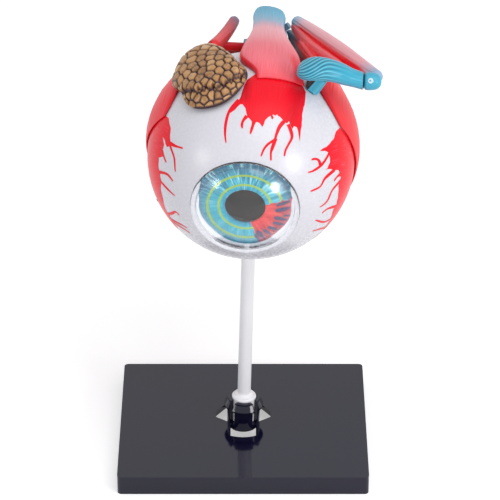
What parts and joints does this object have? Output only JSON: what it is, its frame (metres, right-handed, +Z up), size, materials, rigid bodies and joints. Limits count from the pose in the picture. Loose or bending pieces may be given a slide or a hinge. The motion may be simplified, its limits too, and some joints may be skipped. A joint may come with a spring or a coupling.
{
  "type": "eye anatomy model",
  "caption": "Take-apart human eye model on a black plate stand: white ball with clear cornea, blue iris, muscle straps, tear gland, and inner layers.",
  "frame": {"origin": "middle of the plate's underside, on the surface it stands on", "axes": "+Z up the stand, -Y the way the eye looks, +X to the right seen from the front"},
  "size_m": [0.082, 0.1069, 0.1426],
  "materials": {
    "black_gloss": "moulded, glossy",
    "stem_white": "satin",
    "eye_white": "glossy, with red printing",
    "clear": "clear moulded plastic",
    "iris_print": "printed",
    "ciliary_brown": "satin",
    "choroid_red": "satin",
    "retina_orange": "satin",
    "nerve_yellow": "satin",
    "vessel_red": "glossy",
    "tendon_blue": "satin paint over ribbed moulding",
    "muscle_red": "satin paint over fibre relief",
    "gland_ochre": "painted scales over dark grooves"
  },
  "bodies": {
    "base": {"base_plate": "black_gloss"},
    "stem": {"stem": "stem_white"},
    "globe": {"sclera_rear": "eye_white", "choroid": "choroid_red", "retina": "retina_orange", "optic_nerve": "nerve_yellow", "nerve_sheath": "nerve_yellow", "retinal_vessels": "vessel_red", "annulus": "tendon_blue"},
    "front_shell": {"sclera_front": "eye_white"},
    "ciliary_ring": {"ciliary_body": "ciliary_brown"},
    "lens": {"lens": "clear"},
    "vitreous": {"vitreous_body": "clear"},
    "cornea": {"cornea": "clear"},
    "iris": {"iris": "iris_print"},
    "gland": {"lacrimal_gland": "gland_ochre"},
    "superior_oblique": {"superior_oblique": "muscle_red", "trochlea": "tendon_blue", "superior_oblique_tendon": "tendon_blue"},
    "superior_rectus": {"superior_rectus": "muscle_red"},
    "medial_rectus": {"medial_rectus": "muscle_red"},
    "lateral_rectus": {"lateral_rectus": "muscle_red"},
    "inferior_oblique": {"inferior_oblique": "muscle_red"},
    "inferior_rectus": {"inferior_rectus": "muscle_red"}
  },
  "joints": [
    {"name": "stem_turn", "type": "hinge", "parent": "base", "child": "stem", "pos_m": [0, 0, 0.0065], "axis": [0.0262, 0, 0.9997], "continuous": true},
    {"name": "ball_turn", "type": "hinge", "parent": "stem", "child": "globe", "pos_m": [0.00258, 0, 0.10517], "axis": [0.0262, 0, 0.9997], "continuous": true},
    {"name": "front_shell_off", "type": "slide", "parent": "globe", "child": "front_shell", "axis": [-0.0683, -0.994, -0.0854], "range_m": [0, 0.06]},
    {"name": "ciliary_ring_off", "type": "slide", "parent": "globe", "child": "ciliary_ring", "axis": [-0.0683, -0.994, -0.0854], "range_m": [0, 0.045]},
    {"name": "lens_off", "type": "slide", "parent": "globe", "child": "lens", "axis": [-0.0683, -0.994, -0.0854], "range_m": [0, 0.033]},
    {"name": "vitreous_off", "type": "slide", "parent": "globe", "child": "vitreous", "axis": [-0.0683, -0.994, -0.0854], "range_m": [0, 0.018]},
    {"name": "cornea_off", "type": "slide", "parent": "front_shell", "child": "cornea", "axis": [-0.0683, -0.994, -0.0854], "range_m": [0, 0.025]},
    {"name": "iris_off", "type": "slide", "parent": "front_shell", "child": "iris", "axis": [-0.0683, -0.994, -0.0854], "range_m": [0, 0.0125]},
    {"name": "gland_off", "type": "slide", "parent": "front_shell", "child": "gland", "axis": [-0.3862, -0.4022, 0.8302], "range_m": [0, 0.02]},
    {"name": "superior_oblique_off", "type": "slide", "parent": "globe", "child": "superior_oblique", "axis": [0.5755, -0.1784, 0.7981], "range_m": [0, 0.02]},
    {"name": "superior_rectus_off", "type": "slide", "parent": "globe", "child": "superior_rectus", "axis": [0.2, 0.022, 0.9796], "range_m": [0, 0.01]},
    {"name": "medial_rectus_off", "type": "slide", "parent": "globe", "child": "medial_rectus", "axis": [0.9257, 0.163, -0.3414], "range_m": [0, 0.025]},
    {"name": "lateral_rectus_off", "type": "slide", "parent": "globe", "child": "lateral_rectus", "axis": [-0.9533, 0.2737, -0.1276], "range_m": [0, 0.025]},
    {"name": "inferior_oblique_off", "type": "slide", "parent": "globe", "child": "inferior_oblique", "axis": [-0.5148, 0.3378, -0.7879], "range_m": [0, 0.02]},
    {"name": "inferior_rectus_off", "type": "slide", "parent": "globe", "child": "inferior_rectus", "axis": [0.0002, 0.3689, -0.9295], "range_m": [0, 0.01]}
  ],
  "couplings": [
    {"joint": "ciliary_ring_off", "follows": "front_shell_off", "ratio": 0.75},
    {"joint": "lens_off", "follows": "front_shell_off", "ratio": 0.55},
    {"joint": "vitreous_off", "follows": "front_shell_off", "ratio": 0.3},
    {"joint": "iris_off", "follows": "cornea_off", "ratio": 0.5},
    {"joint": "superior_rectus_off", "follows": "superior_oblique_off", "ratio": 0.5},
    {"joint": "inferior_rectus_off", "follows": "inferior_oblique_off", "ratio": 0.5}
  ]
}
